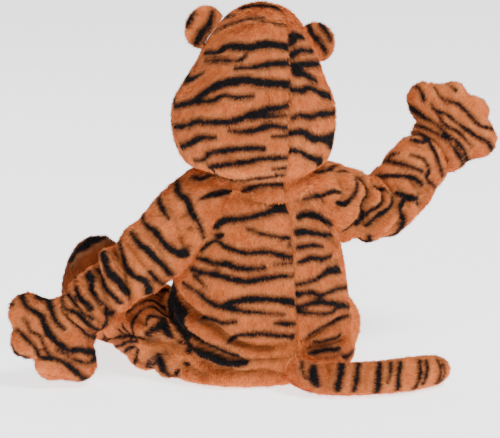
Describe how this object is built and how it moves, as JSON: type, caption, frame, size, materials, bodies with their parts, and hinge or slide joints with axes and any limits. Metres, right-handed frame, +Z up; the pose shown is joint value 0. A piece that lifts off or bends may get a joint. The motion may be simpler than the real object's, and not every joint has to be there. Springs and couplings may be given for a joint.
{
  "type": "tiger costume",
  "caption": "Plush tiger costume for a baby with hood, ears, mitten paws, booties and a stuffed tail, worn and sitting, hollow.",
  "frame": {"origin": "middle of the neck, where the wearer's neck and shoulders hold the costume up", "axes": "+Z up, -Y the way the wearer looks, +X towards the wearer's left hand"},
  "size_m": [0.6396, 0.4432, 0.466],
  "materials": {
    "orange_plush": "matte",
    "rust_plush": "matte"
  },
  "bodies": {
    "root": {"hood_back_left": "orange_plush", "hood_back_right": "orange_plush", "hood_front": "orange_plush", "back_left": "orange_plush", "back_right": "orange_plush", "front_left": "orange_plush", "front_right": "orange_plush", "front_placket": "orange_plush", "sleeve_left": "orange_plush", "sleeve_right": "orange_plush", "leg_left": "orange_plush", "leg_right": "orange_plush", "tail": "orange_plush", "ear_left_back": "orange_plush", "ear_left_front": "orange_plush", "ear_right_back": "orange_plush", "ear_right_front": "orange_plush", "paw_left_back": "orange_plush", "paw_left_palm": "orange_plush", "paw_right_back": "orange_plush", "paw_right_palm": "orange_plush", "foot_left_upper": "rust_plush", "foot_left_sole": "rust_plush", "foot_right_upper": "rust_plush", "foot_right_sole": "rust_plush"}
  },
  "joints": []
}
